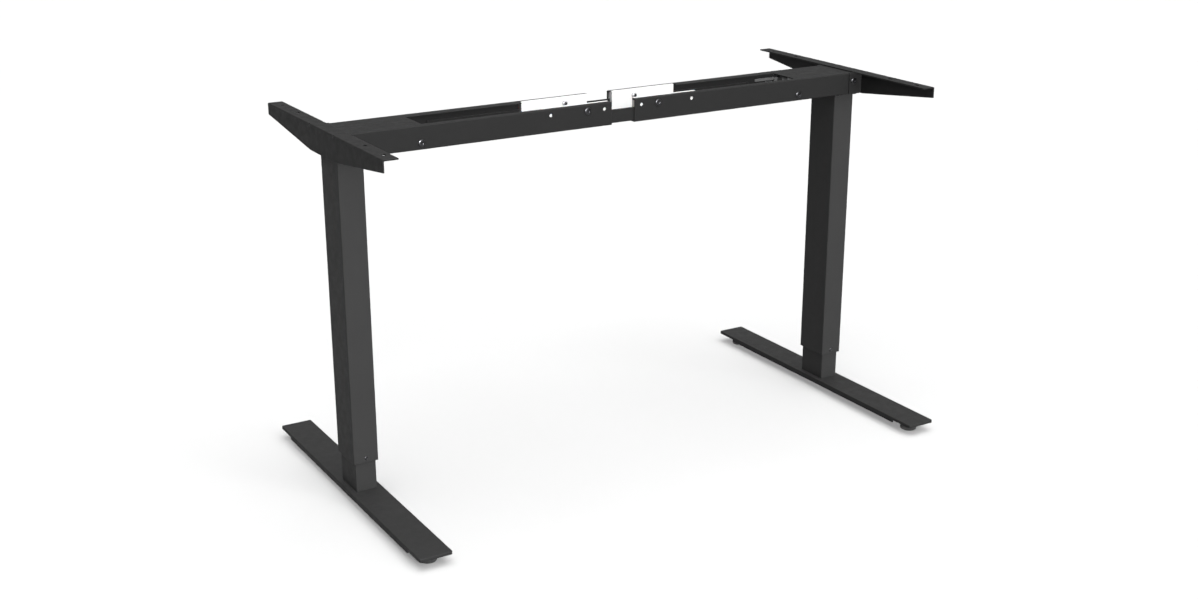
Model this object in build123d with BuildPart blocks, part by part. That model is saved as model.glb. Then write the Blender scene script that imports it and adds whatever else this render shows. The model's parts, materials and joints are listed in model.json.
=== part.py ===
"""Electric standing desk frame: two lifting columns on long feet, joined by a telescoping crossbeam.

Units are millimetres, +Z is up, X runs along the crossbeam, the front edge is towards -Y.
The origin is on the floor under the middle of the frame, at its lowest height.
"""

import os

from build123d import *

os.makedirs("parts", exist_ok=True)

# Overall sizes
frame_height = 720.0
column_spacing = 1120.0
bracket_length = 540.0
foot_length = 680.0

# Running clearances
slide_clearance = 0.3
shaft_clearance = 0.05
thread_clearance = 0.02
screw_clearance = 0.25
seat_gap = 0.5

# Foot
foot_width = 64.0
foot_top = 25.0
foot_sheet = 3.0
foot_flange_depth = 11.0
foot_end_depth = 6.0
foot_end_length = 53.0
foot_corner_radius = 3.5
foot_edge_radius = 1.2
foot_doubler_length = 200.0
foot_doubler_thickness = 4.0
foot_doubler_margin = 2.0
foot_doubler_corner = 4.0

# Levelling glides
glide_inset = 38.0
glide_pad_radius = 17.0
glide_pad_height = 8.0
glide_pad_bore_depth = 4.5
glide_pad_shoulder = (3.0, 3.5)
glide_pad_edge = 1.0
glide_stud_radius = 4.0
glide_collar_across = 13.0
glide_collar_height = 2.4
glide_stud_point = 0.6
glide_nut_across = 14.0
glide_nut_height = 11.0

# Column tubes
outer_tube_width = 50.0
outer_tube_depth = 78.0
outer_tube_radius = 2.0
outer_tube_ride_height = 58.5
tube_wall = 2.0
guide_gap = 2.0
inner_tube_radius = 2.0
inner_tube_head_gap = 10.5
inner_tube_base_thickness = 10.0
guide_length = 50.0
upper_guide_length = 40.0
spindle_nut_height = 30.0
spindle_nut_boss = 7.0
spindle_nut_rim = 5.0
spindle_nut_window_width = 22.0
spindle_nut_window_radius = 3.0
guide_screw_height = 8.5

# Column base bolts
base_bolt_edge_x = 10.0
base_bolt_edge_y = 13.0
base_bolt_radius = 4.0
base_bolt_engagement = 8.0

# Crossbeam
beam_side_room = 13.0
beam_end_room = 3.5
beam_height = 45.0
beam_sheet = 2.0
beam_corner_radius = 2.5
beam_gap = 52.0
beam_opening_gap = 8.0
front_lip = 10.0
rear_lip = 22.0
rear_lip_notch_room = 3.0
beam_hole_radius = 3.5
beam_hole_drop = 12.0
beam_open_hole_xs = (42.0, 160.0)
rail_half_length = 370.0
rail_drop = 16.1
rail_sheet = 3.0
rail_bend_radius = 2.0
liner_back = 1.5
liner_depth = 13.0
liner_setback = 3.0
liner_end = 175.0
liner_rib_rise = 0.5
liner_screw_x = 80.0

# Side brackets
bracket_sheet = 2.5
bracket_flange = 28.5
bracket_tip_height = 22.0
bracket_skirt = 1.0
bracket_tab_reach = 37.0
bracket_tab_width = 29.0
bracket_screw_inset = 26.0
bracket_screw_drop = 17.5
table_hole_radius = 3.5
table_hole_inset = 17.0
table_slot_length = 14.0
table_hole_y = 236.0
table_slot_y = 156.0
bracket_bend = 0.9
bend_relief_radius = 2.5

# Drive
column_flange_thickness = 5.0
column_flange_rim = 6.0
column_flange_gap = 1.0
column_flange_corner = 3.0
head_bolt_edge_x = 9.0
head_bolt_engagement = 1.0
gearbox_base_thickness = 3.5
gearbox_wall = 3.0
gearbox_front = 20.0
gearbox_rear = 30.0
gearbox_top_gap = 2.5
journal_boss_wall = 4.0
journal_boss_gap = 2.0
worm_rise = 2.0
wheel_radius = 15.0
wheel_height = 10.0
wheel_neck_radius = 6.0
worm_radius = 5.0
worm_length = 30.0
worm_shaft_radius = 3.0
gear_gap = 0.4
spindle_radius = 7.0
spindle_bottom = 120.0
spindle_journal_radius = 5.0
spindle_collar_radius = 10.0
spindle_point = 1.5
motor_radius = 17.5
motor_length = 99.0
motor_shaft_depth = 24.0
motor_edge_radius = 2.5
cradle_hold = 10.0
cradle_sheet = 2.5
cradle_flange_length = 22.0
cradle_flange_height = 22.0
cradle_flange_rise = 1.5
cradle_screw_offset = 3.0
cradle_screw_rise = 12.5

# Button-head screws of the beam and flat socket bolts of the column
m6_radius = 3.0
m6_head_radius = 7.0
m6_head_height = 3.3
m6_key = 4.0
m6_long = 22.0
m6_short = 11.0
m6_bolt_head_radius = 5.25
m6_bolt_head_height = 3.0
m6_nut_across = 10.0
m6_nut_height = 5.0
m4_radius = 2.0
m4_head_radius = 3.6
m4_head_height = 1.4
m4_key = 2.5
m4_length = 3.5
m8_head_radius = 6.5
m8_head_height = 4.0
m8_key = 6.0
head_rounding = 0.6
key_depth = 0.55

# Lead socket on the end of the right motor
socket_length = 48.0
socket_section = 4.5
socket_head_length = 8.0
socket_head_width = 8.0
socket_head_height = 10.0
socket_drop = 6.5
socket_offset = 8.0
socket_tip = 1.0

# Levels and stations that follow from the sizes above
column_x = column_spacing / 2
glide_y = foot_length / 2 - glide_inset
foot_under = foot_top - foot_sheet
inner_tube_width = outer_tube_width - 2 * (tube_wall + guide_gap)
inner_tube_depth = outer_tube_depth - 2 * (tube_wall + guide_gap)
base_bolt_x = inner_tube_width / 2 - base_bolt_edge_x
base_bolt_y = inner_tube_depth / 2 - base_bolt_edge_y
tube_bottom = foot_top + outer_tube_ride_height
beam_top = frame_height - bracket_sheet
beam_bottom = beam_top - beam_height
beam_floor = beam_bottom + beam_sheet
beam_roof = beam_top - beam_sheet
beam_depth = outer_tube_depth + 2 * beam_side_room
beam_side_inner = beam_depth / 2 - beam_sheet
beam_inner = beam_gap / 2
column_flange_width = outer_tube_width + 2 * column_flange_rim
column_flange_depth = 2 * (beam_side_inner - column_flange_gap)
beam_end = column_x + column_flange_width / 2 + beam_end_room
frame_width = 2 * (beam_end + bracket_sheet)
head_bolt_x = column_flange_width / 2 - head_bolt_edge_x
head_bolt_y = (outer_tube_depth / 2 + beam_side_inner) / 2
inner_tube_top = beam_floor - inner_tube_head_gap
column_flange_top = beam_floor + column_flange_thickness
gearbox_base_top = column_flange_top + gearbox_base_thickness
gearbox_top = beam_roof - gearbox_top_gap
worm_y = wheel_radius + worm_radius + gear_gap
worm_z = beam_top - beam_height / 2 + worm_rise
wheel_bottom = worm_z - wheel_height / 2
wheel_top = worm_z + wheel_height / 2
gearbox_inner_face = column_x - column_flange_width / 2
motor_end = gearbox_inner_face - motor_length
beam_opening_end = motor_end - beam_opening_gap
cradle_x = motor_end + cradle_hold
cradle_screw_x = motor_end - cradle_screw_offset
cradle_screw_z = beam_bottom + cradle_screw_rise
rail_bottom = beam_floor + slide_clearance
rail_top = beam_top - rail_drop
rail_depth = 2 * (beam_side_inner - liner_back - slide_clearance)
screw_row_z = beam_top - beam_hole_drop
bracket_full_half = beam_depth / 2 + bracket_sheet + bend_relief_radius
bracket_screw_x = frame_width / 2 - bracket_screw_inset
bracket_screw_z = beam_top - bracket_screw_drop
guide_screw_z = tube_bottom + guide_screw_height

# Turns that point a screw's head, drawn facing up, some other way
FRONT = (90, 0, 0)
REAR = (-90, 0, 0)
DOWN = (180, 0, 0)


def save(piece, name):
    piece.part.label = name
    export_step(piece.part, f"parts/{name}.step")


def screw(head_radius, head_height, radius, length, key_across):
    """A screw with its head up, its seat at z = 0 and its shank going down."""
    with BuildPart() as fastener:
        Cylinder(head_radius, head_height, align=(Align.CENTER, Align.CENTER, Align.MIN))
        fillet(fastener.edges().group_by(Axis.Z)[-1], head_height * head_rounding)
        Cylinder(radius, length, align=(Align.CENTER, Align.CENTER, Align.MAX))
        with BuildSketch(Plane.XY.offset(head_height)):
            RegularPolygon(key_across / 2, 6, major_radius=False)
        extrude(amount=-head_height * key_depth, mode=Mode.SUBTRACT)
    return fastener.part


def hex_nut(across, height, bore_radius):
    """A nut standing on z = 0."""
    with BuildPart() as nut:
        with BuildSketch():
            RegularPolygon(across / 2, 6, major_radius=False)
            Circle(bore_radius, mode=Mode.SUBTRACT)
        extrude(amount=height)
    return nut.part


def rounded_tube(x, width, depth, radius, wall, z_low, z_high):
    """A rectangular tube standing at x between two levels."""
    with BuildPart() as tube:
        with BuildSketch(Plane.XY.offset(z_low)):
            with Locations((x, 0)):
                RectangleRounded(width, depth, radius)
                RectangleRounded(width - 2 * wall, depth - 2 * wall, radius - wall / 2,
                                 mode=Mode.SUBTRACT)
        extrude(amount=z_high - z_low)
    return tube.part


def bores(places, radius, depth):
    """Drills holes of one radius, centred on each placed location."""
    with Locations(*places):
        Cylinder(radius, depth, mode=Mode.SUBTRACT)


long_screw = screw(m6_head_radius, m6_head_height, m6_radius, m6_long, m6_key)
short_screw = screw(m6_head_radius, m6_head_height, m6_radius, m6_short, m6_key)
head_bolt = screw(
    m6_bolt_head_radius, m6_bolt_head_height, m6_radius,
    gearbox_base_top - beam_bottom + head_bolt_engagement, m6_key,
)
guide_screw = screw(m4_head_radius, m4_head_height, m4_radius, m4_length, m4_key)
base_bolt = screw(
    m8_head_radius, m8_head_height, base_bolt_radius,
    foot_sheet + foot_doubler_thickness + base_bolt_engagement, m8_key,
)
nut = hex_nut(m6_nut_across, m6_nut_height, m6_radius + thread_clearance)

for side_name, side in (("left", -1), ("right", 1)):
    column = side * column_x
    base_bolts = [
        (column + i * base_bolt_x, j * base_bolt_y) for i in (-1, 1) for j in (-1, 1)
    ]
    head_bolts = [
        (column + i * head_bolt_x, j * head_bolt_y) for i in (-1, 1) for j in (-1, 1)
    ]

    # ---------------------------------------------------------------- foot
    with BuildPart() as foot_shell:
        with BuildSketch(Plane.XY.offset(foot_top - foot_flange_depth)):
            with Locations((column, 0)):
                RectangleRounded(foot_width, foot_length, foot_corner_radius)
        extrude(amount=foot_flange_depth)
        fillet(foot_shell.faces().sort_by(Axis.Z)[-1].edges(), foot_edge_radius)
        with BuildSketch(Plane.XY.offset(foot_top - foot_flange_depth)):
            with Locations((column, 0)):
                RectangleRounded(
                    foot_width - 2 * foot_sheet, foot_length - 2 * foot_sheet,
                    max(foot_corner_radius - foot_sheet, foot_corner_radius / 8),
                )
        extrude(amount=foot_flange_depth - foot_sheet, mode=Mode.SUBTRACT)
        for j in (-1, 1):
            with Locations((column, j * (foot_length - foot_end_length) / 2,
                            foot_top - foot_flange_depth)):
                Box(2 * foot_width, foot_end_length, 2 * (foot_flange_depth - foot_end_depth),
                    mode=Mode.SUBTRACT)
        bores([(x, y, foot_top) for x, y in base_bolts],
              base_bolt_radius + screw_clearance, 4 * foot_sheet)
    save(foot_shell, f"{side_name}_foot_shell")

    with BuildPart() as foot_doubler:
        with Locations((column, 0, foot_under)):
            Box(foot_width - 2 * foot_sheet - 2 * foot_doubler_margin, foot_doubler_length,
                foot_doubler_thickness, align=(Align.CENTER, Align.CENTER, Align.MAX))
        fillet(foot_doubler.edges().filter_by(Axis.Z), foot_doubler_corner)
        bores([(x, y, foot_under) for x, y in base_bolts],
              base_bolt_radius + screw_clearance, 4 * foot_doubler_thickness)
    save(foot_doubler, f"{side_name}_foot_doubler")

    with BuildPart() as glide_nuts:
        with Locations(*[(column, j * glide_y, foot_under - glide_nut_height) for j in (-1, 1)]):
            add(hex_nut(glide_nut_across, glide_nut_height, glide_stud_radius + slide_clearance))
    save(glide_nuts, f"{side_name}_glide_nuts")

    with BuildPart() as base_bolt_group:
        with Locations(*[Location((x, y, foot_under - foot_doubler_thickness), DOWN)
                         for x, y in base_bolts]):
            add(base_bolt)
    save(base_bolt_group, f"{side_name}_base_bolts")

    for end_name, end in (("front", -1), ("rear", 1)):
        place = (column, end * glide_y, 0)
        with BuildPart() as pad:
            with Locations(place):
                Cylinder(glide_pad_radius, glide_pad_height,
                         align=(Align.CENTER, Align.CENTER, Align.MIN))
            chamfer(pad.edges().group_by(Axis.Z)[-1], *glide_pad_shoulder)
            fillet(pad.edges().group_by(Axis.Z)[0], glide_pad_edge)
            with Locations((column, end * glide_y, glide_pad_height)):
                Cylinder(glide_stud_radius + shaft_clearance, glide_pad_bore_depth,
                         align=(Align.CENTER, Align.CENTER, Align.MAX), mode=Mode.SUBTRACT)
        save(pad, f"{side_name}_{end_name}_glide_pad")

        collar_bottom = glide_pad_height + slide_clearance
        with BuildPart() as stud:
            with Locations((column, end * glide_y,
                            glide_pad_height - glide_pad_bore_depth + slide_clearance)):
                Cylinder(
                    glide_stud_radius,
                    foot_under - slide_clearance * 2 - glide_pad_height + glide_pad_bore_depth,
                    align=(Align.CENTER, Align.CENTER, Align.MIN),
                )
            with BuildSketch(Plane.XY.offset(collar_bottom)):
                with Locations((column, end * glide_y)):
                    RegularPolygon(glide_collar_across / 2, 6, major_radius=False)
            extrude(amount=glide_collar_height)
            chamfer(stud.faces().sort_by(Axis.Z)[-1].edges(), glide_stud_point)
        save(stud, f"{side_name}_{end_name}_glide_stud")

    # ------------------------------------------------------- inner column tube
    with BuildPart() as inner_tube:
        add(rounded_tube(column, inner_tube_width, inner_tube_depth, inner_tube_radius,
                         tube_wall, foot_top, inner_tube_top))
        with Locations((column, 0, foot_top)):
            Box(inner_tube_width - tube_wall, inner_tube_depth - tube_wall,
                inner_tube_base_thickness, align=(Align.CENTER, Align.CENTER, Align.MIN))
        bores([(x, y, foot_top) for x, y in base_bolts], base_bolt_radius + thread_clearance,
              4 * inner_tube_base_thickness)
    save(inner_tube, f"{side_name}_inner_tube")

    with BuildPart() as upper_guide:
        with BuildSketch(Plane.XY.offset(inner_tube_top - upper_guide_length)):
            with Locations((column, 0)):
                RectangleRounded(
                    outer_tube_width - 2 * tube_wall - 2 * slide_clearance,
                    outer_tube_depth - 2 * tube_wall - 2 * slide_clearance,
                    outer_tube_radius - tube_wall / 2 + slide_clearance,
                )
                RectangleRounded(inner_tube_width, inner_tube_depth, inner_tube_radius,
                                 mode=Mode.SUBTRACT)
        extrude(amount=upper_guide_length)
    save(upper_guide, f"{side_name}_upper_guide")

    window_low = spindle_radius + spindle_nut_boss
    window_high = inner_tube_depth / 2 - tube_wall - spindle_nut_rim
    with BuildPart() as spindle_nut:
        with BuildSketch(Plane.XY.offset(inner_tube_top - spindle_nut_height)):
            with Locations((column, 0)):
                RectangleRounded(inner_tube_width - 2 * tube_wall, inner_tube_depth - 2 * tube_wall,
                                 inner_tube_radius - tube_wall / 2)
                Circle(spindle_radius + shaft_clearance * 2, mode=Mode.SUBTRACT)
                with Locations(*[(0, j * (window_low + window_high) / 2) for j in (-1, 1)]):
                    RectangleRounded(
                        spindle_nut_window_width, window_high - window_low,
                        min(spindle_nut_window_radius, (window_high - window_low) / 3),
                        mode=Mode.SUBTRACT,
                    )
        extrude(amount=spindle_nut_height)
    save(spindle_nut, f"{side_name}_spindle_nut")

    # ------------------------------------------------------- outer column tube
    with BuildPart() as outer_tube:
        add(rounded_tube(column, outer_tube_width, outer_tube_depth, outer_tube_radius,
                         tube_wall, tube_bottom, beam_floor))
        with BuildSketch(Plane.XY.offset(beam_floor)):
            with Locations((column, 0)):
                RectangleRounded(column_flange_width, column_flange_depth, column_flange_corner)
                Circle(spindle_radius + shaft_clearance, mode=Mode.SUBTRACT)
        extrude(amount=column_flange_thickness)
        bores([(x, y, beam_floor) for x, y in head_bolts], m6_radius + thread_clearance,
              4 * column_flange_thickness)
        bores([Location((column, j * outer_tube_depth / 2, guide_screw_z), FRONT)
               for j in (-1, 1)], m4_radius + thread_clearance, 4 * tube_wall)
    save(outer_tube, f"{side_name}_outer_tube")

    with BuildPart() as lower_guide:
        with BuildSketch(Plane.XY.offset(tube_bottom)):
            with Locations((column, 0)):
                RectangleRounded(outer_tube_width - 2 * tube_wall, outer_tube_depth - 2 * tube_wall,
                                 outer_tube_radius - tube_wall / 2)
                RectangleRounded(inner_tube_width + 2 * slide_clearance,
                                 inner_tube_depth + 2 * slide_clearance,
                                 inner_tube_radius, mode=Mode.SUBTRACT)
        extrude(amount=guide_length)
        bores([Location((column, j * outer_tube_depth / 2, guide_screw_z), FRONT)
               for j in (-1, 1)], m4_radius + thread_clearance, 4 * tube_wall)
    save(lower_guide, f"{side_name}_lower_guide")

    with BuildPart() as guide_screws:
        with Locations(
            Location((column, -outer_tube_depth / 2, guide_screw_z), FRONT),
            Location((column, outer_tube_depth / 2, guide_screw_z), REAR),
        ):
            add(guide_screw)
    save(guide_screws, f"{side_name}_guide_screws")

    with BuildPart() as head_bolt_group:
        with Locations(*[Location((x, y, beam_bottom), DOWN) for x, y in head_bolts]):
            add(head_bolt)
    save(head_bolt_group, f"{side_name}_head_bolts")

    # --------------------------------------------------------- crossbeam half
    notch_end = liner_end + rear_lip_notch_room
    with BuildPart() as beam_half:
        with BuildSketch(Plane.YZ.offset(side * beam_inner)):
            with Locations((0, beam_bottom + beam_height / 2)):
                RectangleRounded(beam_depth, beam_height, beam_corner_radius)
                RectangleRounded(beam_depth - 2 * beam_sheet, beam_height - 2 * beam_sheet,
                                 beam_corner_radius - beam_sheet, mode=Mode.SUBTRACT)
        extrude(amount=side * (beam_end - beam_inner))
        # the long opening in the top, narrower where the rear lip widens
        with Locations((side * beam_opening_end / 2, (front_lip - rear_lip) / 2, beam_top)):
            Box(beam_opening_end, beam_depth - front_lip - rear_lip, 4 * beam_sheet,
                mode=Mode.SUBTRACT)
        with Locations((side * notch_end / 2, 0, beam_top)):
            Box(notch_end, beam_depth - 2 * front_lip, 4 * beam_sheet, mode=Mode.SUBTRACT)
        # the column passes through the floor of the beam
        with Locations((column, 0, beam_bottom)):
            Box(outer_tube_width + 2 * slide_clearance, outer_tube_depth + 2 * slide_clearance,
                4 * beam_sheet, mode=Mode.SUBTRACT)
        bores([(x, y, beam_bottom) for x, y in head_bolts], m6_radius + screw_clearance,
              4 * beam_sheet)
        for x, z, radius in (
            *((hole_x, screw_row_z, beam_hole_radius) for hole_x in beam_open_hole_xs),
            (liner_screw_x, screw_row_z, m6_radius + screw_clearance),
            (cradle_screw_x, cradle_screw_z, m6_radius + screw_clearance),
            (bracket_screw_x, bracket_screw_z, m6_radius + screw_clearance),
        ):
            bores([Location((side * x, 0, z), FRONT)], radius, 2 * beam_depth)
    save(beam_half, f"{side_name}_beam_half")

    # the liners wrap over the rail's walls and fill the space up to the beam's lips
    liner_start = beam_inner + liner_setback
    liner_foot = rail_bottom + rail_sheet + slide_clearance
    liner_roof = rail_top + slide_clearance
    liner_shoulder = beam_roof - seat_gap
    liner_y = beam_side_inner - liner_depth
    for face_name, face in (("front", -1), ("rear", 1)):
        back_y = face * beam_side_inner
        rail_outer_y = face * (rail_depth / 2 + slide_clearance)
        rail_inner_y = face * (rail_depth / 2 - rail_sheet - slide_clearance)
        rib_y = face * (beam_depth / 2 - front_lip - slide_clearance)
        with BuildPart() as liner:
            with BuildSketch(Plane.YZ.offset(side * liner_start)):
                with BuildLine():
                    Polyline(
                        (back_y, beam_floor + seat_gap), (back_y, liner_shoulder),
                        (rib_y, liner_shoulder), (rib_y, beam_top + liner_rib_rise),
                        (face * liner_y, beam_top + liner_rib_rise), (face * liner_y, liner_foot),
                        (rail_inner_y, liner_foot), (rail_inner_y, liner_roof),
                        (rail_outer_y, liner_roof), (rail_outer_y, beam_floor + seat_gap),
                        close=True,
                    )
                make_face()
            extrude(amount=side * (liner_end - liner_start))
            bores([Location((side * liner_screw_x, back_y, screw_row_z), FRONT)],
                  m6_radius + thread_clearance, 4 * liner_depth)
        save(liner, f"{side_name}_{face_name}_liner")

    with BuildPart() as liner_screws:
        with Locations(Location((side * liner_screw_x, -beam_depth / 2, screw_row_z), FRONT),
                       Location((side * liner_screw_x, beam_depth / 2, screw_row_z), REAR)):
            add(long_screw)
        with Locations(Location((side * liner_screw_x, -liner_y, screw_row_z), REAR),
                       Location((side * liner_screw_x, liner_y, screw_row_z), FRONT)):
            add(nut)
    save(liner_screws, f"{side_name}_liner_screws")

    # ----------------------------------------------------------- side bracket
    plate_x = side * (frame_width / 2 - bracket_sheet)
    flange_centre = side * (frame_width / 2 - bracket_flange / 2)
    table_hole_x = side * (frame_width / 2 - table_hole_inset)
    bracket_bottom = beam_bottom - bracket_skirt
    tip_bottom = frame_height - bracket_tip_height
    half_bracket = bracket_length / 2
    tab_x = side * (frame_width / 2 - bracket_tab_reach + bracket_tab_width / 2)
    with BuildPart() as side_bracket:
        with BuildSketch(Plane.YZ.offset(plate_x)):
            with BuildLine():
                Polyline(
                    (-half_bracket, frame_height), (-half_bracket, tip_bottom),
                    (-bracket_full_half, bracket_bottom), (bracket_full_half, bracket_bottom),
                    (half_bracket, tip_bottom), (half_bracket, frame_height), close=True,
                )
            make_face()
        extrude(amount=side * bracket_sheet)
        with Locations((flange_centre, 0, beam_top)):
            Box(bracket_flange, bracket_length, bracket_sheet,
                align=(Align.CENTER, Align.CENTER, Align.MIN))
        for j in (-1, 1):
            with Locations((tab_x, j * (beam_depth + bracket_sheet) / 2, beam_bottom)):
                Box(bracket_tab_width, bracket_sheet, beam_height,
                    align=(Align.CENTER, Align.CENTER, Align.MIN))
            bores([(side * (frame_width / 2 - bracket_flange),
                    j * bracket_full_half, beam_top)], bend_relief_radius, 4 * bracket_sheet)
        bores([Location((side * bracket_screw_x, j * beam_depth / 2, bracket_screw_z), FRONT)
               for j in (-1, 1)], m6_radius + screw_clearance, 4 * bracket_sheet)
        # tabletop fixings: a round locating hole behind, slots elsewhere
        bores([(table_hole_x, table_hole_y, frame_height)], table_hole_radius, 4 * bracket_sheet)
        with BuildSketch(Plane.XY.offset(frame_height)):
            with Locations(*[(table_hole_x, y) for y in (-table_hole_y, -table_slot_y, table_slot_y)]):
                SlotOverall(table_slot_length, 2 * table_hole_radius, rotation=90)
        extrude(amount=-2 * bracket_sheet, mode=Mode.SUBTRACT)
        outer_corner = side_bracket.edges().filter_by(Axis.Y).filter_by_position(
            Axis.Z, frame_height - seat_gap, frame_height + seat_gap
        ).sort_by(Axis.X)[-1 if side > 0 else 0]
        fillet(outer_corner, bracket_sheet * bracket_bend)
        bores([(side * frame_width / 2, j * bracket_full_half, frame_height) for j in (-1, 1)],
              bend_relief_radius, 4 * bracket_sheet)
    save(side_bracket, f"{side_name}_side_bracket")

    with BuildPart() as bracket_screws:
        tab_face = beam_depth / 2 + bracket_sheet
        with Locations(Location((side * bracket_screw_x, -tab_face, bracket_screw_z), FRONT),
                       Location((side * bracket_screw_x, tab_face, bracket_screw_z), REAR)):
            add(short_screw)
        with Locations(Location((side * bracket_screw_x, -beam_side_inner, bracket_screw_z), REAR),
                       Location((side * bracket_screw_x, beam_side_inner, bracket_screw_z), FRONT)):
            add(nut)
    save(bracket_screws, f"{side_name}_bracket_screws")

    # ------------------------------------------------------------------ drive
    boss_height = gearbox_top - gearbox_wall - wheel_top - journal_boss_gap
    with BuildPart() as gearbox_case:
        with Locations((column, 0, column_flange_top)):
            Box(column_flange_width, column_flange_depth, gearbox_base_thickness,
                align=(Align.CENTER, Align.CENTER, Align.MIN))
        with Locations((column, (gearbox_rear - gearbox_front) / 2, column_flange_top)):
            Box(column_flange_width, gearbox_front + gearbox_rear, gearbox_top - column_flange_top,
                align=(Align.CENTER, Align.CENTER, Align.MIN))
        with Locations((column, (gearbox_rear - gearbox_front) / 2, column_flange_top)):
            Box(column_flange_width - 2 * gearbox_wall, gearbox_front + gearbox_rear - 2 * gearbox_wall,
                gearbox_top - column_flange_top - gearbox_wall,
                align=(Align.CENTER, Align.CENTER, Align.MIN), mode=Mode.SUBTRACT)
        with Locations((column, 0, gearbox_top - gearbox_wall)):
            Cylinder(spindle_journal_radius + journal_boss_wall, boss_height,
                     align=(Align.CENTER, Align.CENTER, Align.MAX))
            Cylinder(spindle_journal_radius + shaft_clearance, boss_height,
                     align=(Align.CENTER, Align.CENTER, Align.MAX), mode=Mode.SUBTRACT)
        with Locations(Location((column, worm_y, worm_z), (0, 90, 0))):
            Cylinder(worm_shaft_radius + shaft_clearance, 2 * column_flange_width, mode=Mode.SUBTRACT)
        bores([(x, y, column_flange_top) for x, y in head_bolts], m6_radius + screw_clearance,
              4 * gearbox_base_thickness)
    save(gearbox_case, f"{side_name}_gearbox_case")

    with BuildPart() as spindle:
        with Locations((column, 0, spindle_bottom)):
            Cylinder(spindle_radius, wheel_bottom - spindle_bottom,
                     align=(Align.CENTER, Align.CENTER, Align.MIN))
        with Locations((column, 0, wheel_bottom)):
            Cylinder(spindle_collar_radius, wheel_bottom - column_flange_top - slide_clearance,
                     align=(Align.CENTER, Align.CENTER, Align.MAX))
            Cylinder(wheel_neck_radius, wheel_height,
                     align=(Align.CENTER, Align.CENTER, Align.MIN))
        with Locations((column, 0, wheel_top)):
            Cylinder(spindle_journal_radius, gearbox_top - gearbox_wall - wheel_top - slide_clearance,
                     align=(Align.CENTER, Align.CENTER, Align.MIN))
        chamfer(spindle.edges().group_by(Axis.Z)[0], spindle_point)
    save(spindle, f"{side_name}_spindle")

    with BuildPart() as worm_wheel:
        with BuildSketch(Plane.XY.offset(wheel_bottom)):
            with Locations((column, 0)):
                Circle(wheel_radius)
                Circle(wheel_neck_radius, mode=Mode.SUBTRACT)
        extrude(amount=wheel_height)
    save(worm_wheel, f"{side_name}_worm_wheel")

    with BuildPart() as worm_shaft:
        shaft_start = gearbox_inner_face - motor_shaft_depth + slide_clearance
        shaft_end = gearbox_inner_face + column_flange_width - slide_clearance
        with Locations(Location((side * (shaft_start + shaft_end) / 2, worm_y, worm_z), (0, 90, 0))):
            Cylinder(worm_shaft_radius, shaft_end - shaft_start)
        with Locations(Location((column, worm_y, worm_z), (0, 90, 0))):
            Cylinder(worm_radius, worm_length)
    save(worm_shaft, f"{side_name}_worm_shaft")

    with BuildPart() as motor:
        with BuildSketch(Plane.YZ.offset(side * gearbox_inner_face)):
            with Locations((worm_y, worm_z)):
                Circle(motor_radius)
        extrude(amount=-side * motor_length)
        fillet(motor.edges().sort_by(Axis.X)[0 if side > 0 else -1], motor_edge_radius)
        with Locations(Location((side * gearbox_inner_face, worm_y, worm_z), (0, 90, 0))):
            Cylinder(worm_shaft_radius + shaft_clearance, 2 * motor_shaft_depth, mode=Mode.SUBTRACT)
    save(motor, f"{side_name}_motor")

    with BuildPart() as motor_cradle:
        with BuildSketch(Plane.YZ.offset(side * cradle_x)):
            with Locations((0, beam_floor + (beam_roof - beam_floor) / 2)):
                Rectangle(2 * (beam_side_inner - seat_gap), beam_roof - beam_floor - 2 * seat_gap)
            with Locations((worm_y, worm_z)):
                Circle(motor_radius, mode=Mode.SUBTRACT)
            with Locations((worm_y, worm_z)):
                Rectangle(2 * motor_radius, beam_height, align=(Align.CENTER, Align.MIN),
                          mode=Mode.SUBTRACT)
        extrude(amount=side * cradle_sheet)
        for j in (-1, 1):
            with Locations((side * (cradle_x + cradle_sheet), j * (beam_side_inner - cradle_sheet / 2),
                            beam_floor + cradle_flange_rise)):
                Box(cradle_flange_length + cradle_sheet, cradle_sheet, cradle_flange_height,
                    align=(Align.MAX if side > 0 else Align.MIN, Align.CENTER, Align.MIN))
        bores([Location((side * cradle_screw_x, j * beam_side_inner, cradle_screw_z), FRONT)
               for j in (-1, 1)], m6_radius + screw_clearance, 4 * cradle_sheet)
    save(motor_cradle, f"{side_name}_motor_cradle")

    with BuildPart() as cradle_screws:
        cradle_nut_y = beam_side_inner - cradle_sheet
        with Locations(Location((side * cradle_screw_x, -beam_depth / 2, cradle_screw_z), FRONT),
                       Location((side * cradle_screw_x, beam_depth / 2, cradle_screw_z), REAR)):
            add(short_screw)
        with Locations(Location((side * cradle_screw_x, -cradle_nut_y, cradle_screw_z), REAR),
                       Location((side * cradle_screw_x, cradle_nut_y, cradle_screw_z), FRONT)):
            add(nut)
    save(cradle_screws, f"{side_name}_cradle_screws")

# -------------------------------------------------------------- centre rail
with BuildPart() as centre_rail:
    with BuildSketch(Plane.YZ.offset(-rail_half_length)):
        with Locations((0, rail_bottom)):
            Rectangle(rail_depth, rail_top - rail_bottom, align=(Align.CENTER, Align.MIN))
        with Locations((0, rail_bottom + rail_sheet)):
            Rectangle(rail_depth - 2 * rail_sheet, rail_top - rail_bottom,
                      align=(Align.CENTER, Align.MIN), mode=Mode.SUBTRACT)
    extrude(amount=2 * rail_half_length)
    fillet(centre_rail.edges().filter_by(Axis.X).group_by(Axis.Z)[0], rail_bend_radius)
save(centre_rail, "centre_rail")

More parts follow.
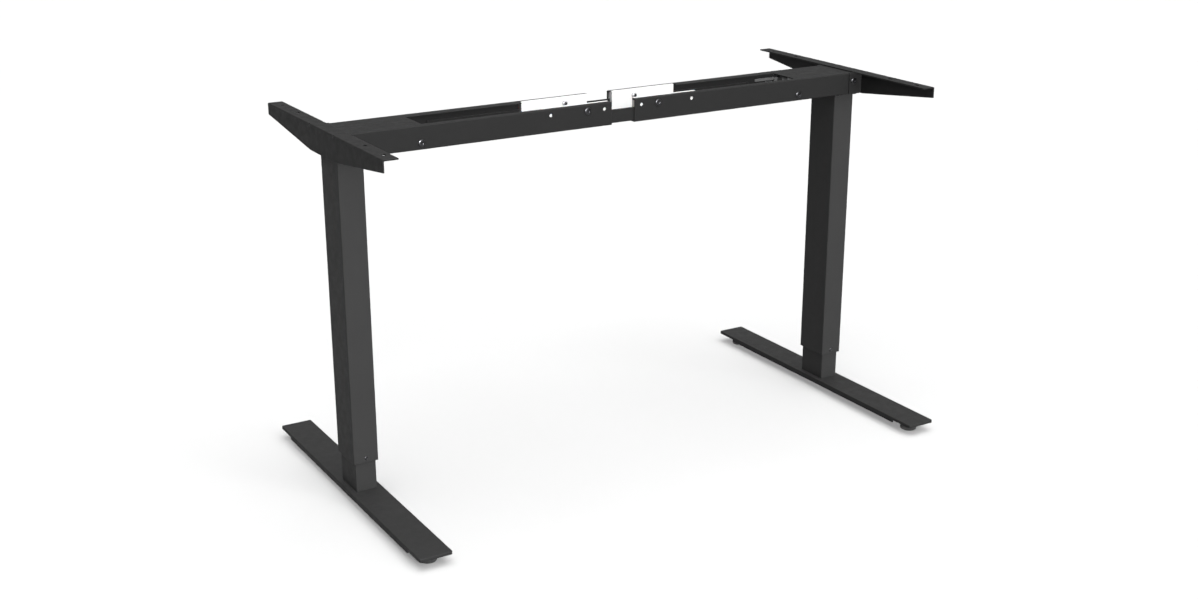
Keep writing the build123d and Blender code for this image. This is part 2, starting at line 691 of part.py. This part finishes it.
# ------------------------------------------- lead socket of the right motor
with BuildPart() as motor_lead_socket:
    socket_y = worm_y + socket_offset
    socket_top = beam_roof - socket_drop
    with Locations((motor_end, socket_y, socket_top)):
        Box(socket_head_length, socket_head_width, socket_head_height,
            align=(Align.MAX, Align.CENTER, Align.MAX))
    with Locations((motor_end - socket_head_length, socket_y, socket_top)):
        Box(socket_length, socket_section, socket_section,
            align=(Align.MAX, Align.CENTER, Align.MAX))
    chamfer(motor_lead_socket.faces().sort_by(Axis.X)[0].edges(), socket_tip)
save(motor_lead_socket, "motor_lead_socket")
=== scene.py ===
import json
import math

import bmesh
import bpy
from mathutils import Matrix, Vector

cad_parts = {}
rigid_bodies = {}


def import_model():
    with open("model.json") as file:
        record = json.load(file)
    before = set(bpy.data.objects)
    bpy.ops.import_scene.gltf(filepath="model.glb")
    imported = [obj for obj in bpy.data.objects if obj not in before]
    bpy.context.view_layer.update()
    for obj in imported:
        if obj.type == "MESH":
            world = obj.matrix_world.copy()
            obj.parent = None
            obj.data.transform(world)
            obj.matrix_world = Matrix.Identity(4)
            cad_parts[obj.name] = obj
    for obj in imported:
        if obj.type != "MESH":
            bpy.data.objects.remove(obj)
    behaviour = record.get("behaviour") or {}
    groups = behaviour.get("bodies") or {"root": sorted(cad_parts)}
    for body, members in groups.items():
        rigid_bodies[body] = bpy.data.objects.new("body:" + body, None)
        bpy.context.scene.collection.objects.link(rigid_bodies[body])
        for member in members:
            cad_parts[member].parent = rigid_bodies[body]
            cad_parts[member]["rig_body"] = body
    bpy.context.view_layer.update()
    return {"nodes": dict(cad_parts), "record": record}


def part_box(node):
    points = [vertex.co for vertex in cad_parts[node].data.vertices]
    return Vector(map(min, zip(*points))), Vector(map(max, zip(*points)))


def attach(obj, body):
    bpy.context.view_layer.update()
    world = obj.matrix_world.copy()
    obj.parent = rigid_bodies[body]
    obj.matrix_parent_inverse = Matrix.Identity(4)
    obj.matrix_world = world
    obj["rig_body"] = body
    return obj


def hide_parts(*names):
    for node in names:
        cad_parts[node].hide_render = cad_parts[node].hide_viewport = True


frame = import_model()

NODES = frame["nodes"]
TAU = 2 * math.pi
MM = 0.001


# ------------------------------------------------------------------ camera
# Position in metres, heading from +Y towards +X and tilt below the horizon in radians,
# and focal length over sensor width.
CAMERA_PLACE = (-1.5587, -2.5364, 1.3115)
CAMERA_HEADING = 0.5443
CAMERA_TILT = 0.3285
FOCAL_PER_WIDTH = 1.2869783

camera_data = bpy.data.cameras.new("camera")
camera_data.sensor_width = 36.0
camera_data.lens = FOCAL_PER_WIDTH * camera_data.sensor_width
camera_data.clip_end = 100.0
camera = bpy.data.objects.new("camera", camera_data)
camera.location = CAMERA_PLACE
camera.rotation_euler = (math.pi / 2 - CAMERA_TILT, 0.0, -CAMERA_HEADING)
bpy.context.scene.collection.objects.link(camera)
bpy.context.scene.camera = camera


# --------------------------------------------------------------- materials
class Nodes:
    """A small writer of shader trees around one Principled shader."""

    def __init__(self, name):
        self.material = bpy.data.materials.new(name)
        self.material.use_nodes = True
        self.tree = self.material.node_tree
        self.shader = self.tree.nodes["Principled BSDF"]
        self.place = self.add("ShaderNodeTexCoord").outputs["Object"]

    def add(self, kind, **inputs):
        node = self.tree.nodes.new(kind)
        for key, value in inputs.items():
            node.inputs[key.replace("_", " ")].default_value = value
        return node

    def link(self, a, b):
        self.tree.links.new(a, b)

    def stretched(self, scale):
        node = self.add("ShaderNodeMapping")
        node.inputs["Scale"].default_value = scale
        self.link(self.place, node.inputs["Vector"])
        return node.outputs["Vector"]

    def noise(self, scale, detail=2.0, roughness=0.5, place=None):
        node = self.add("ShaderNodeTexNoise", Scale=scale, Detail=detail, Roughness=roughness)
        self.link(place or self.place, node.inputs["Vector"])
        return node.outputs["Fac"]

    def cells(self, scale, place=None):
        node = self.add("ShaderNodeTexVoronoi", Scale=scale)
        self.link(place or self.place, node.inputs["Vector"])
        return node.outputs["Distance"]

    def ranged(self, value, low, high, to_low, to_high):
        node = self.add("ShaderNodeMapRange")
        for key, number in (("From Min", low), ("From Max", high), ("To Min", to_low), ("To Max", to_high)):
            node.inputs[key].default_value = number
        self.link(value, node.inputs["Value"])
        return node.outputs["Result"]

    def ramp(self, value, stops):
        node = self.add("ShaderNodeValToRGB")
        elements = node.color_ramp.elements
        while len(elements) < len(stops):
            elements.new(0.5)
        for element, (at, colour) in zip(elements, stops):
            element.position = at
            element.color = (*colour, 1.0)
        self.link(value, node.inputs["Fac"])
        return node.outputs["Color"]

    def mix(self, factor, a, b):
        node = self.tree.nodes.new("ShaderNodeMix")
        node.data_type = "RGBA"
        for value, socket in ((factor, node.inputs[0]), (a, node.inputs[6]), (b, node.inputs[7])):
            if isinstance(value, bpy.types.NodeSocket):
                self.link(value, socket)
            else:
                socket.default_value = value
        return node.outputs[2]

    def bump(self, height, strength, distance, under=None):
        node = self.add("ShaderNodeBump", Strength=strength, Distance=distance)
        self.link(height, node.inputs["Height"])
        if under is not None:
            self.link(under, node.inputs["Normal"])
        return node.outputs["Normal"]

    def finish(self, colour=None, roughness=None, normal=None, **constants):
        for key, value in (("Base Color", colour), ("Roughness", roughness), ("Normal", normal)):
            if value is not None:
                self.link(value, self.shader.inputs[key])
        for key, value in constants.items():
            self.shader.inputs[key.replace("_", " ")].default_value = value
        return self.material


def edge_mask(n, radius, low, high):
    """A rounded normal for folded edges, and a mask that is 1 along them."""
    bevel = n.tree.nodes.new("ShaderNodeBevel")
    bevel.samples = 6
    bevel.inputs["Radius"].default_value = radius
    geometry = n.add("ShaderNodeNewGeometry")
    agree = n.tree.nodes.new("ShaderNodeVectorMath")
    agree.operation = "DOT_PRODUCT"
    n.link(bevel.outputs["Normal"], agree.inputs[0])
    n.link(geometry.outputs["Normal"], agree.inputs[1])
    return bevel.outputs["Normal"], n.ranged(agree.outputs["Value"], low, high, 1.0, 0.0)


SPECKLE = (0.026, 0.026, 0.0265, 1.0)
# Lighter edge colour: partly worn coat, partly a painted highlight along the edges.
EDGE_WEAR_AND_HIGHLIGHT = (0.036, 0.036, 0.0365, 1.0)


def powder_coat(name, dark, light):
    """Fine textured matt black coat: grain, orange peel, faint cloudiness and lighter edges, partly worn coat
    and partly a painted highlight.
    """
    n = Nodes(name)
    rounded, edge = edge_mask(n, 1.4 * MM, 0.72, 0.97)
    speckle = n.noise(1500.0, 1.0, 0.5)
    grain = n.cells(1300.0)
    peel = n.noise(420.0, 2.0, 0.55)
    tone = n.ramp(n.noise(9.0, 3.0, 0.5), ((0.30, (dark,) * 3), (0.70, (light,) * 3)))
    colour = n.mix(n.ranged(speckle, 0.62, 0.74, 0.0, 0.22), tone, SPECKLE)
    # Edges lightened in patches: partly wear of the coat, partly a painted highlight.
    edge_wear_and_highlight = n.tree.nodes.new("ShaderNodeMath")
    edge_wear_and_highlight.operation = "MULTIPLY"
    n.link(edge, edge_wear_and_highlight.inputs[0])
    n.link(n.ranged(n.noise(55.0, 4.0, 0.7), 0.30, 0.62, 0.25, 0.80), edge_wear_and_highlight.inputs[1])
    colour = n.mix(edge_wear_and_highlight.outputs["Value"], colour, EDGE_WEAR_AND_HIGHLIGHT)
    rough = n.ranged(n.noise(60.0, 3.0, 0.6), 0.30, 0.70, 0.52, 0.64)
    normal = n.bump(grain, 0.18, 0.00030, n.bump(peel, 0.14, 0.00060, rounded))
    return n.finish(colour, rough, normal, Metallic=0.0, Specular_IOR_Level=0.04)


def turned_metal(name, dark, light, scale, rough, metallic=1.0):
    """Metal with fine machining or plating texture and slight stains."""
    n = Nodes(name)
    brushed = n.noise(scale, 3.0, 0.6, n.stretched((1.0, 1.0, 0.06)))
    stains = n.noise(90.0, 4.0, 0.65)
    colour = n.mix(n.ranged(stains, 0.35, 0.75, 0.0, 1.0), (*dark, 1.0), (*light, 1.0))
    roughness = n.ranged(brushed, 0.25, 0.75, rough[0], rough[1])
    normal = n.bump(brushed, 0.12, 0.00010)
    return n.finish(colour, roughness, normal, Metallic=metallic)


def cast_metal():
    n = Nodes("cast_metal")
    pores = n.noise(900.0, 2.0, 0.6)
    patches = n.noise(45.0, 4.0, 0.6)
    colour = n.ramp(patches, ((0.30, (0.30, 0.30, 0.31)), (0.72, (0.44, 0.44, 0.45))))
    rough = n.ranged(pores, 0.3, 0.7, 0.42, 0.62)
    return n.finish(colour, rough, n.bump(pores, 0.35, 0.00025), Metallic=1.0)


def moulded(name, dark, light, rough, grain, strength, subsurface=0.0):
    """Moulded plastic: a slight tone drift, an even surface grain and flow marks."""
    n = Nodes(name)
    drift = n.noise(22.0, 3.0, 0.5)
    fine = n.noise(grain, 2.0, 0.5)
    flow = n.noise(160.0, 2.0, 0.5, n.stretched((0.15, 1.0, 1.0)))
    colour = n.mix(n.ranged(drift, 0.3, 0.7, 0.0, 1.0), (*dark, 1.0), (*light, 1.0))
    roughness = n.ranged(fine, 0.3, 0.7, rough[0], rough[1])
    normal = n.bump(fine, strength, 0.00015, n.bump(flow, 0.05, 0.00040))
    return n.finish(colour, roughness, normal, Metallic=0.0, Subsurface_Weight=subsurface)


def grey(value):
    return (value,) * 3


SATIN = (0.24, 0.42)
MATERIALS = {
    "black_powder_coat": powder_coat("powder_coat", 0.0088, 0.0092),
    "black_steel": turned_metal(
        "black_oxide", (0.020, 0.020, 0.021), (0.055, 0.055, 0.058), 900.0, (0.30, 0.45)),
    "zinc_steel": turned_metal(
        "zinc_plate", (0.46, 0.47, 0.49), (0.64, 0.65, 0.66), 700.0, SATIN),
    "bright_zinc": turned_metal(
        "bright_zinc", (0.25, 0.25, 0.26), (0.31, 0.31, 0.32), 700.0, SATIN, 0.30),
    "ground_steel": turned_metal(
        "ground_steel", (0.34, 0.34, 0.35), (0.50, 0.50, 0.51), 1100.0, (0.16, 0.32)),
    "bronze": turned_metal(
        "bronze", (0.36, 0.22, 0.09), (0.50, 0.33, 0.15), 900.0, (0.22, 0.38)),
    "cast_aluminium": cast_metal(),
    # Dark motor paint, darkened further to near black as painted shade for the motor inside the beam's shaded
    # hollow.
    "motor_can": turned_metal(
        "motor_paint_with_painted_shade", grey(0.010), grey(0.016), 500.0, (0.34, 0.46), 0.0),
    "white_liner": moulded(
        "white_nylon", (0.360, 0.360, 0.358), (0.385, 0.385, 0.383), (0.36, 0.48), 800.0, 0.06, 0.05),
    "guide_plastic": moulded(
        "black_acetal", (0.030, 0.030, 0.031), (0.045, 0.045, 0.046), (0.35, 0.50), 700.0, 0.10),
    "nut_plastic": moulded(
        "natural_acetal", (0.74, 0.71, 0.63), (0.82, 0.79, 0.72), (0.38, 0.50), 700.0, 0.08, 0.05),
    "pad_plastic": moulded("pad_moulding", grey(0.016), grey(0.026), (0.50, 0.68), 1200.0, 0.35),
    "socket_plastic": moulded("grey_moulding", grey(0.034), grey(0.042), (0.40, 0.52), 900.0, 0.12),
}
# The coats of the nodes with these endings, a little lighter than the beam's: lighter copies of the same
# black coat, a painted light standing for the brighter light on these parts.
PAINTED_LIGHT_COATS = {
    "er_tube": powder_coat("column_coat_painted_light", 0.0165, 0.0178),
    "foot_shell": powder_coat("foot_coat_painted_light", 0.0125, 0.0135),
}
SLOT = {part["node"]: part["material_slot"] for part in frame["record"]["subparts"]}


# ---------------------------------------------------------- mesh helpers
RINGS_PER_TURN = 6
FASTENER_SIDES = 42
STUD_SIDES = 48
SHAFT_SIDES = 36
PAD_SIDES = 144
WHEEL_SIDES = 160
MOTOR_SIDES = 96


def hexagon(across):
    """Radius of a hexagon of the given width across its flats, by angle."""
    def radius(angle):
        return across / 2 / math.cos((angle % (TAU / 6)) - TAU / 12)
    return radius


def clipped(shape, limit):
    return lambda angle: min(shape(angle), limit)


def scalloped(radius, count, depth):
    return lambda angle: radius - depth * (0.5 - 0.5 * math.cos(count * angle)) ** 3


def thread(radius, depth, pitch, height, starts=1, taper=0.0):
    """Radius by angle at one height on a screw thread with flat crests and roots."""
    def at(angle):
        phase = (height / pitch - starts * angle / TAU) % 1.0
        wave = min(1.0, max(0.0, abs(phase - 0.5) * 4.0 - 0.5))
        return radius - taper - depth * wave
    return at


def skin(bm, rings, matrix, count, caps=(True, True)):
    """Skins a stack of closed rings, each (radius or radius by angle, height), round local Z."""
    rows = []
    for radius, height in rings:
        row = []
        for i in range(count):
            angle = TAU * i / count
            r = radius(angle) if callable(radius) else radius
            row.append(bm.verts.new(matrix @ Vector((r * math.cos(angle), r * math.sin(angle), height))))
        rows.append(row)
    for low, high in zip(rows, rows[1:]):
        for i in range(count):
            j = (i + 1) % count
            bm.faces.new((low[i], low[j], high[j], high[i]))
    if caps[0]:
        bm.faces.new(list(reversed(rows[0])))
    if caps[1]:
        bm.faces.new(rows[-1])
    return rows


def join_ends(bm, rows):
    """Closes a ring-shaped skin from its last row to its first."""
    count = len(rows[0])
    for i in range(count):
        j = (i + 1) % count
        bm.faces.new((rows[-1][i], rows[-1][j], rows[0][j], rows[0][i]))


def thread_rings(radius, depth, pitch, low, high, starts=1, run_out=True):
    """Rings of a threaded length. With run_out, the thread tapers in at its low end."""
    steps = max(2, round((high - low) / (pitch / RINGS_PER_TURN)))
    rings = []
    for k in range(steps + 1):
        z = low + (high - low) * k / steps
        taper = 0.0
        if run_out:
            taper = max(0.0, depth - (z - low))
        rings.append((thread(radius, depth, pitch, z, starts, taper), z))
    return rings


SHARP_EDGE = math.radians(32.0)


def piece(name, bm, body, slot, stands_for, look=None):
    """Turns a bmesh into a smooth-shaded piece that rides on a body and stands for CAD nodes."""
    bmesh.ops.recalc_face_normals(bm, faces=bm.faces)
    for edge in bm.edges:
        edge.smooth = len(edge.link_faces) == 2 and edge.calc_face_angle(0.0) < SHARP_EDGE
    for face in bm.faces:
        face.smooth = True
    mesh = bpy.data.meshes.new(name)
    bm.to_mesh(mesh)
    bm.free()
    mesh.materials.append(MATERIALS[look or slot])
    obj = bpy.data.objects.new(name, mesh)
    bpy.context.scene.collection.objects.link(obj)
    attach(obj, body)
    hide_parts(*stands_for)


def solids(node):
    """The boxes of the separate solids in one CAD node, as (low, high) pairs."""
    bm = bmesh.new()
    bm.from_mesh(NODES[node].data)
    bmesh.ops.remove_doubles(bm, verts=bm.verts, dist=1e-6)
    left = set(bm.verts)
    found = []
    while left:
        queue = [left.pop()]
        island = list(queue)
        while queue:
            for edge in queue.pop().link_edges:
                for vert in edge.verts:
                    if vert in left:
                        left.discard(vert)
                        queue.append(vert)
                        island.append(vert)
        co = [v.co for v in island]
        low = Vector([min(c[i] for c in co) for i in range(3)])
        high = Vector([max(c[i] for c in co) for i in range(3)])
        found.append((low, high))
    bm.free()
    return sorted(found, key=lambda pair: tuple(round(v, 5) for v in pair[0]))


def along(axis, origin):
    """A matrix whose local Z runs along axis from origin."""
    turn = Vector((0, 0, 1)).rotation_difference(Vector(axis)).to_matrix().to_4x4()
    return Matrix.Translation(origin) @ turn


# ------------------------------------------------------------- fasteners
def add_screw(bm, matrix, head_radius, head_height, radius, length, key, pitch):
    """Button-head screw: seat at local z = 0, domed head above with a hexagon key, thread below."""
    dome = []
    for k in range(7):
        t = k / 6
        rise = 0.18 + 0.82 * math.sin(t * math.pi / 2)
        dome.append((head_radius * (1 - 0.52 * t * t), head_height * rise))
    socket = hexagon(key)
    depth = head_height * 0.6
    rings = [(radius * 1.02, -0.2 * MM), (radius * 1.02, 0.0), (head_radius * 0.97, 0.0),
             (head_radius, head_height * 0.06)]
    rings += dome
    rings += [(lambda a: socket(a) * 1.10, head_height), (socket, head_height - 0.15 * MM),
              (socket, head_height - depth), (key * 0.12, head_height - depth * 1.15)]
    body = thread_rings(radius, radius * 0.14, pitch, -length, -0.25 * MM)
    skin(bm, [(radius * 0.55, -length)] + body + rings, matrix, FASTENER_SIDES)


def add_nut(bm, matrix, across, height, bore, pitch):
    """Hexagon nut standing on local z = 0, with turned corners and a plain bore."""
    flat = hexagon(across)
    corner = across / 2 / math.cos(TAU / 12)
    bevel = corner * 0.08
    outer = [
        (bore * 1.25, 0.0), (across / 2 * 0.95, 0.0), (clipped(flat, corner - bevel), bevel * 0.5),
        (flat, bevel * 1.2), (flat, height - bevel * 1.2),
        (clipped(flat, corner - bevel), height - bevel * 0.5),
        (across / 2 * 0.95, height), (bore * 1.25, height),
    ]
    inner = [(bore, height - 0.3 * MM), (bore, 0.3 * MM)]
    rows = skin(bm, outer + inner, matrix, FASTENER_SIDES, caps=(False, False))
    join_ends(bm, rows)


# head height, shank radius, key across flats, pitch, in mm
SCREWS = {
    "liner_screws": (3.3, 3.0, 4.0, 1.0),
    "bracket_screws": (3.3, 3.0, 4.0, 1.0),
    "cradle_screws": (3.3, 3.0, 4.0, 1.0),
    "guide_screws": (1.4, 2.0, 2.5, 0.7),
    "head_bolts": (3.0, 3.0, 4.0, 1.0),
    "base_bolts": (4.0, 4.0, 6.0, 1.25),
}


def fasteners(side, kind):
    node = f"{side}_{kind}"
    head_height, radius, key, pitch = (v * MM for v in SCREWS[kind])
    bm = bmesh.new()
    nuts = bmesh.new()
    for low, high in solids(node):
        size, centre = high - low, (low + high) / 2
        vertical = kind in ("head_bolts", "base_bolts")
        out = Vector((0, 0, -1)) if vertical else Vector((0, math.copysign(1, centre.y), 0))
        length = size.z if vertical else size.y
        across = size.x
        if not vertical and kind != "guide_screws" and across < 12 * MM:
            seat = centre + out * (length / 2)
            add_nut(nuts, along(-out, seat), min(size.x, size.z), length, radius + 0.05 * MM, pitch)
            continue
        seat = centre + out * (length / 2 - head_height)
        add_screw(bm, along(out, seat), across / 2, head_height, radius, length - head_height, key, pitch)
    piece(f"{node}_detail", bm, NODES[node]["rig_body"], SLOT[node], (node,))
    if nuts.verts:
        look = "bright_zinc" if kind == "liner_screws" else None
        piece(f"{node}_nuts", nuts, NODES[node]["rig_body"], SLOT[node], (node,), look=look)
    else:
        nuts.free()


# ---------------------------------------------------------------- glides
def glide(side, end):
    pad, stud = f"{side}_{end}_glide_pad", f"{side}_{end}_glide_stud"
    low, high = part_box(pad)
    centre = Vector(((low.x + high.x) / 2, (low.y + high.y) / 2, 0.0))
    radius, height = (high.x - low.x) / 2, high.z
    grip = scalloped(radius, 36, 0.7 * MM)
    bore = 4.15 * MM
    rings = [
        (radius * 0.30, 0.0), (radius * 0.60, 0.0), (radius * 0.62, 0.5 * MM), (radius * 0.78, 0.5 * MM),
        (radius * 0.80, 0.0), (radius * 0.94, 0.0), (radius - 0.5 * MM, 0.3 * MM), (grip, 1.1 * MM),
        (grip, height - 3.6 * MM), (radius - 0.9 * MM, height - 2.9 * MM), (radius * 0.80, height - 1.1 * MM),
        (radius * 0.62, height - 0.3 * MM), (radius * 0.45, height), (bore + 0.4 * MM, height),
        (bore, height - 0.4 * MM), (bore, height - 4.4 * MM),
    ]
    bm = bmesh.new()
    skin(bm, rings, Matrix.Translation(centre), PAD_SIDES)
    piece(f"{pad}_detail", bm, NODES[pad]["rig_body"], SLOT[pad], (pad,))

    low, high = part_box(stud)
    collar = 13.0 * MM
    flat = hexagon(collar)
    corner = collar / 2 / math.cos(TAU / 12)
    foot = height + 0.3 * MM
    top = foot + 2.4 * MM
    rings = [(3.5 * MM, low.z), (4.0 * MM, low.z + 0.5 * MM), (4.0 * MM, foot), (collar * 0.46, foot),
             (clipped(flat, corner - 0.5 * MM), foot + 0.2 * MM), (flat, foot + 0.5 * MM),
             (flat, top - 0.5 * MM), (clipped(flat, corner - 0.5 * MM), top - 0.2 * MM),
             (collar * 0.46, top), (3.6 * MM, top)]
    rings += thread_rings(4.0 * MM, 0.55 * MM, 1.25 * MM, top + 0.01 * MM, high.z - 0.3 * MM, run_out=False)
    rings += [(3.0 * MM, high.z)]
    bm = bmesh.new()
    skin(bm, rings, Matrix.Translation(centre), STUD_SIDES)
    piece(f"{stud}_detail", bm, NODES[stud]["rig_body"], SLOT[stud], (stud,))


def glide_nuts(side):
    node = f"{side}_glide_nuts"
    bm = bmesh.new()
    for low, high in solids(node):
        base = Vector(((low.x + high.x) / 2, (low.y + high.y) / 2, low.z))
        add_nut(bm, Matrix.Translation(base), high.y - low.y, high.z - low.z, 4.3 * MM, 1.25 * MM)
    piece(f"{node}_detail", bm, NODES[node]["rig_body"], SLOT[node], (node,))


# ----------------------------------------------------------------- drive
def drive(side):
    node = f"{side}_spindle"
    low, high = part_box(node)
    wheel_low, wheel_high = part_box(f"{side}_worm_wheel")
    axis = Vector(((low.x + high.x) / 2, (low.y + high.y) / 2, 0.0))
    collar_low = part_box(f"{side}_gearbox_case")[0].z + 0.3 * MM
    rings = [(4.6 * MM, low.z), (5.4 * MM, low.z + 0.8 * MM)]
    rings += thread_rings(7.0 * MM, 1.5 * MM, 4.0 * MM, low.z + 1.0 * MM, collar_low - 12.0 * MM, starts=2)
    rings += [(6.4 * MM, collar_low - 11.0 * MM), (7.0 * MM, collar_low - 10.0 * MM), (7.0 * MM, collar_low),
              (9.6 * MM, collar_low), (10.0 * MM, collar_low + 0.4 * MM), (10.0 * MM, wheel_low.z - 0.4 * MM),
              (9.6 * MM, wheel_low.z), (6.0 * MM, wheel_low.z), (6.0 * MM, wheel_high.z),
              (5.0 * MM, wheel_high.z),
              (5.0 * MM, high.z - 0.5 * MM), (4.5 * MM, high.z)]
    bm = bmesh.new()
    skin(bm, rings, Matrix.Translation(axis), SHAFT_SIDES)
    piece(f"{node}_detail", bm, NODES[node]["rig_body"], SLOT[node], (node,))

    node = f"{side}_worm_wheel"
    teeth = 20
    outer = 15.0 * MM
    root = 13.0 * MM
    rows = []
    height = wheel_high.z - wheel_low.z
    for k in range(9):
        t = k / 8
        lean = 0.10 * (t - 0.5)
        dip = 0.5 * MM * (1 - (2 * t - 1) ** 2)

        def tooth(angle, lean=lean, dip=dip):
            phase = ((angle + lean) * teeth / TAU) % 1.0
            wave = min(1.0, max(0.0, abs(phase - 0.5) * 4.0 - 0.5))
            return outer - dip - (outer - root) * wave
        rows.append((tooth, wheel_low.z + height * t))
    rings = [(6.02 * MM, wheel_low.z), (12.0 * MM, wheel_low.z)] + rows
    rings += [(12.0 * MM, wheel_high.z), (6.02 * MM, wheel_high.z)]
    bm = bmesh.new()
    join_ends(bm, skin(bm, rings, Matrix.Translation(axis), WHEEL_SIDES, caps=(False, False)))
    piece(f"{node}_detail", bm, NODES[node]["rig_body"], SLOT[node], (node,))

    node = f"{side}_worm_shaft"
    low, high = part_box(node)
    centre = (low + high) / 2
    length = high.x - low.x
    worm_at = axis.x - centre.x
    rings = [(2.6 * MM, -length / 2), (3.0 * MM, -length / 2 + 0.5 * MM), (3.0 * MM, worm_at - 15.0 * MM),
             (3.4 * MM, worm_at - 15.0 * MM)]
    rings += thread_rings(5.0 * MM, 1.4 * MM, 4.2 * MM, worm_at - 14.9 * MM, worm_at + 14.9 * MM)
    rings += [(3.4 * MM, worm_at + 15.0 * MM), (3.0 * MM, worm_at + 15.0 * MM),
              (3.0 * MM, length / 2 - 0.5 * MM), (2.6 * MM, length / 2)]
    bm = bmesh.new()
    skin(bm, rings, along((1, 0, 0), centre), SHAFT_SIDES)
    piece(f"{node}_detail", bm, NODES[node]["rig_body"], SLOT[node], (node,))

    node = f"{side}_motor"
    low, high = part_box(node)
    centre = (low + high) / 2
    length = high.x - low.x
    inward = 1.0 if side == "left" else -1.0
    r = (high.z - low.z) / 2
    vents = scalloped(r - 0.2 * MM, 12, 1.2 * MM)
    back, front = -length / 2, length / 2
    rings = [
        (3.2 * MM, back), (r * 0.92, back), (r, back + 1.2 * MM), (r, back + 9 * MM),
        (r - 0.7 * MM, back + 9.3 * MM), (r - 0.7 * MM, back + 10.5 * MM), (r, back + 10.8 * MM),
        (r, front - 24 * MM), (r - 0.8 * MM, front - 23.6 * MM), (r - 0.8 * MM, front - 22 * MM),
        (vents, front - 20 * MM), (vents, front - 10 * MM), (r - 0.8 * MM, front - 8 * MM),
        (r - 0.8 * MM, front - 4 * MM), (r - 2.5 * MM, front - 1.2 * MM), (r * 0.70, front - 0.6 * MM),
        (r * 0.42, front - 0.6 * MM), (r * 0.40, front), (1.6 * MM, front),
    ]
    bm = bmesh.new()
    skin(bm, rings, along((inward, 0, 0), centre), MOTOR_SIDES)
    piece(f"{node}_detail", bm, NODES[node]["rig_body"], SLOT[node], (node,))


for side in ("left", "right"):
    for kind in SCREWS:
        fasteners(side, kind)
    for end in ("front", "rear"):
        glide(side, end)
    glide_nuts(side)
    drive(side)

# -------------------------------------------------- finishes of CAD nodes
for name, node in NODES.items():
    node.data.materials.clear()
    # Columns and feet take the lighter copies of the coat, which paint in their brighter light.
    coat = [made for ending, made in PAINTED_LIGHT_COATS.items() if name.endswith(ending)]
    node.data.materials.append(coat[0] if coat else MATERIALS[SLOT[name]])


# ------------------------------------------------------- floor and light
def floor_material():
    n = Nodes("floor")
    colour = n.ramp(n.noise(0.6, 2.0, 0.5), ((0.3, (0.295, 0.295, 0.295)), (0.7, (0.305, 0.305, 0.305))))
    return n.finish(colour, None, None, Roughness=0.9, Specular_IOR_Level=0.1)


bm = bmesh.new()
bmesh.ops.create_grid(bm, x_segments=4, y_segments=4, size=30.0)
mesh = bpy.data.meshes.new("floor")
bm.to_mesh(mesh)
bm.free()
mesh.materials.append(floor_material())
floor = bpy.data.objects.new("floor", mesh)
bpy.context.scene.collection.objects.link(floor)


def softbox(name, place, target, size, power):
    """A lamp that only shows in reflections."""
    data = bpy.data.lights.new(name, "AREA")
    data.shape = "RECTANGLE"
    data.size, data.size_y = size
    data.energy = power
    lamp = bpy.data.objects.new(name, data)
    lamp.location = place
    lamp.rotation_euler = (Vector(target) - Vector(place)).to_track_quat("-Z", "Y").to_euler()
    lamp.visible_diffuse = False
    bpy.context.scene.collection.objects.link(lamp)


def soft_sun(name, towards, strength, angle, shadows=True):
    """A wide, even light coming from the direction given."""
    data = bpy.data.lights.new(name, "SUN")
    data.energy = strength
    data.angle = angle
    data.use_shadow = shadows
    lamp = bpy.data.objects.new(name, data)
    lamp.rotation_euler = Vector(towards).to_track_quat("Z", "Y").to_euler()
    lamp.visible_glossy = shadows
    bpy.context.scene.collection.objects.link(lamp)


soft_sun("fill", (0.35, -0.85, 0.45), 8.6, math.radians(40), shadows=False)
soft_sun("overhead", (-0.02, -0.10, 1.0), 5.1, math.radians(70))
softbox("glint", (-2.2, -2.4, 2.6), (0.0, 0.0, 0.6), (1.6, 1.6), 1400.0)

world = bpy.data.worlds.new("studio")
world.use_nodes = True
world.node_tree.nodes["Background"].inputs["Color"].default_value = (1.0, 1.0, 1.0, 1.0)
world.node_tree.nodes["Background"].inputs["Strength"].default_value = 0.60
bpy.context.scene.world = world
bpy.context.scene.view_settings.view_transform = "Standard"
bpy.context.scene.view_settings.look = "None"

bpy.context.view_layer.update()
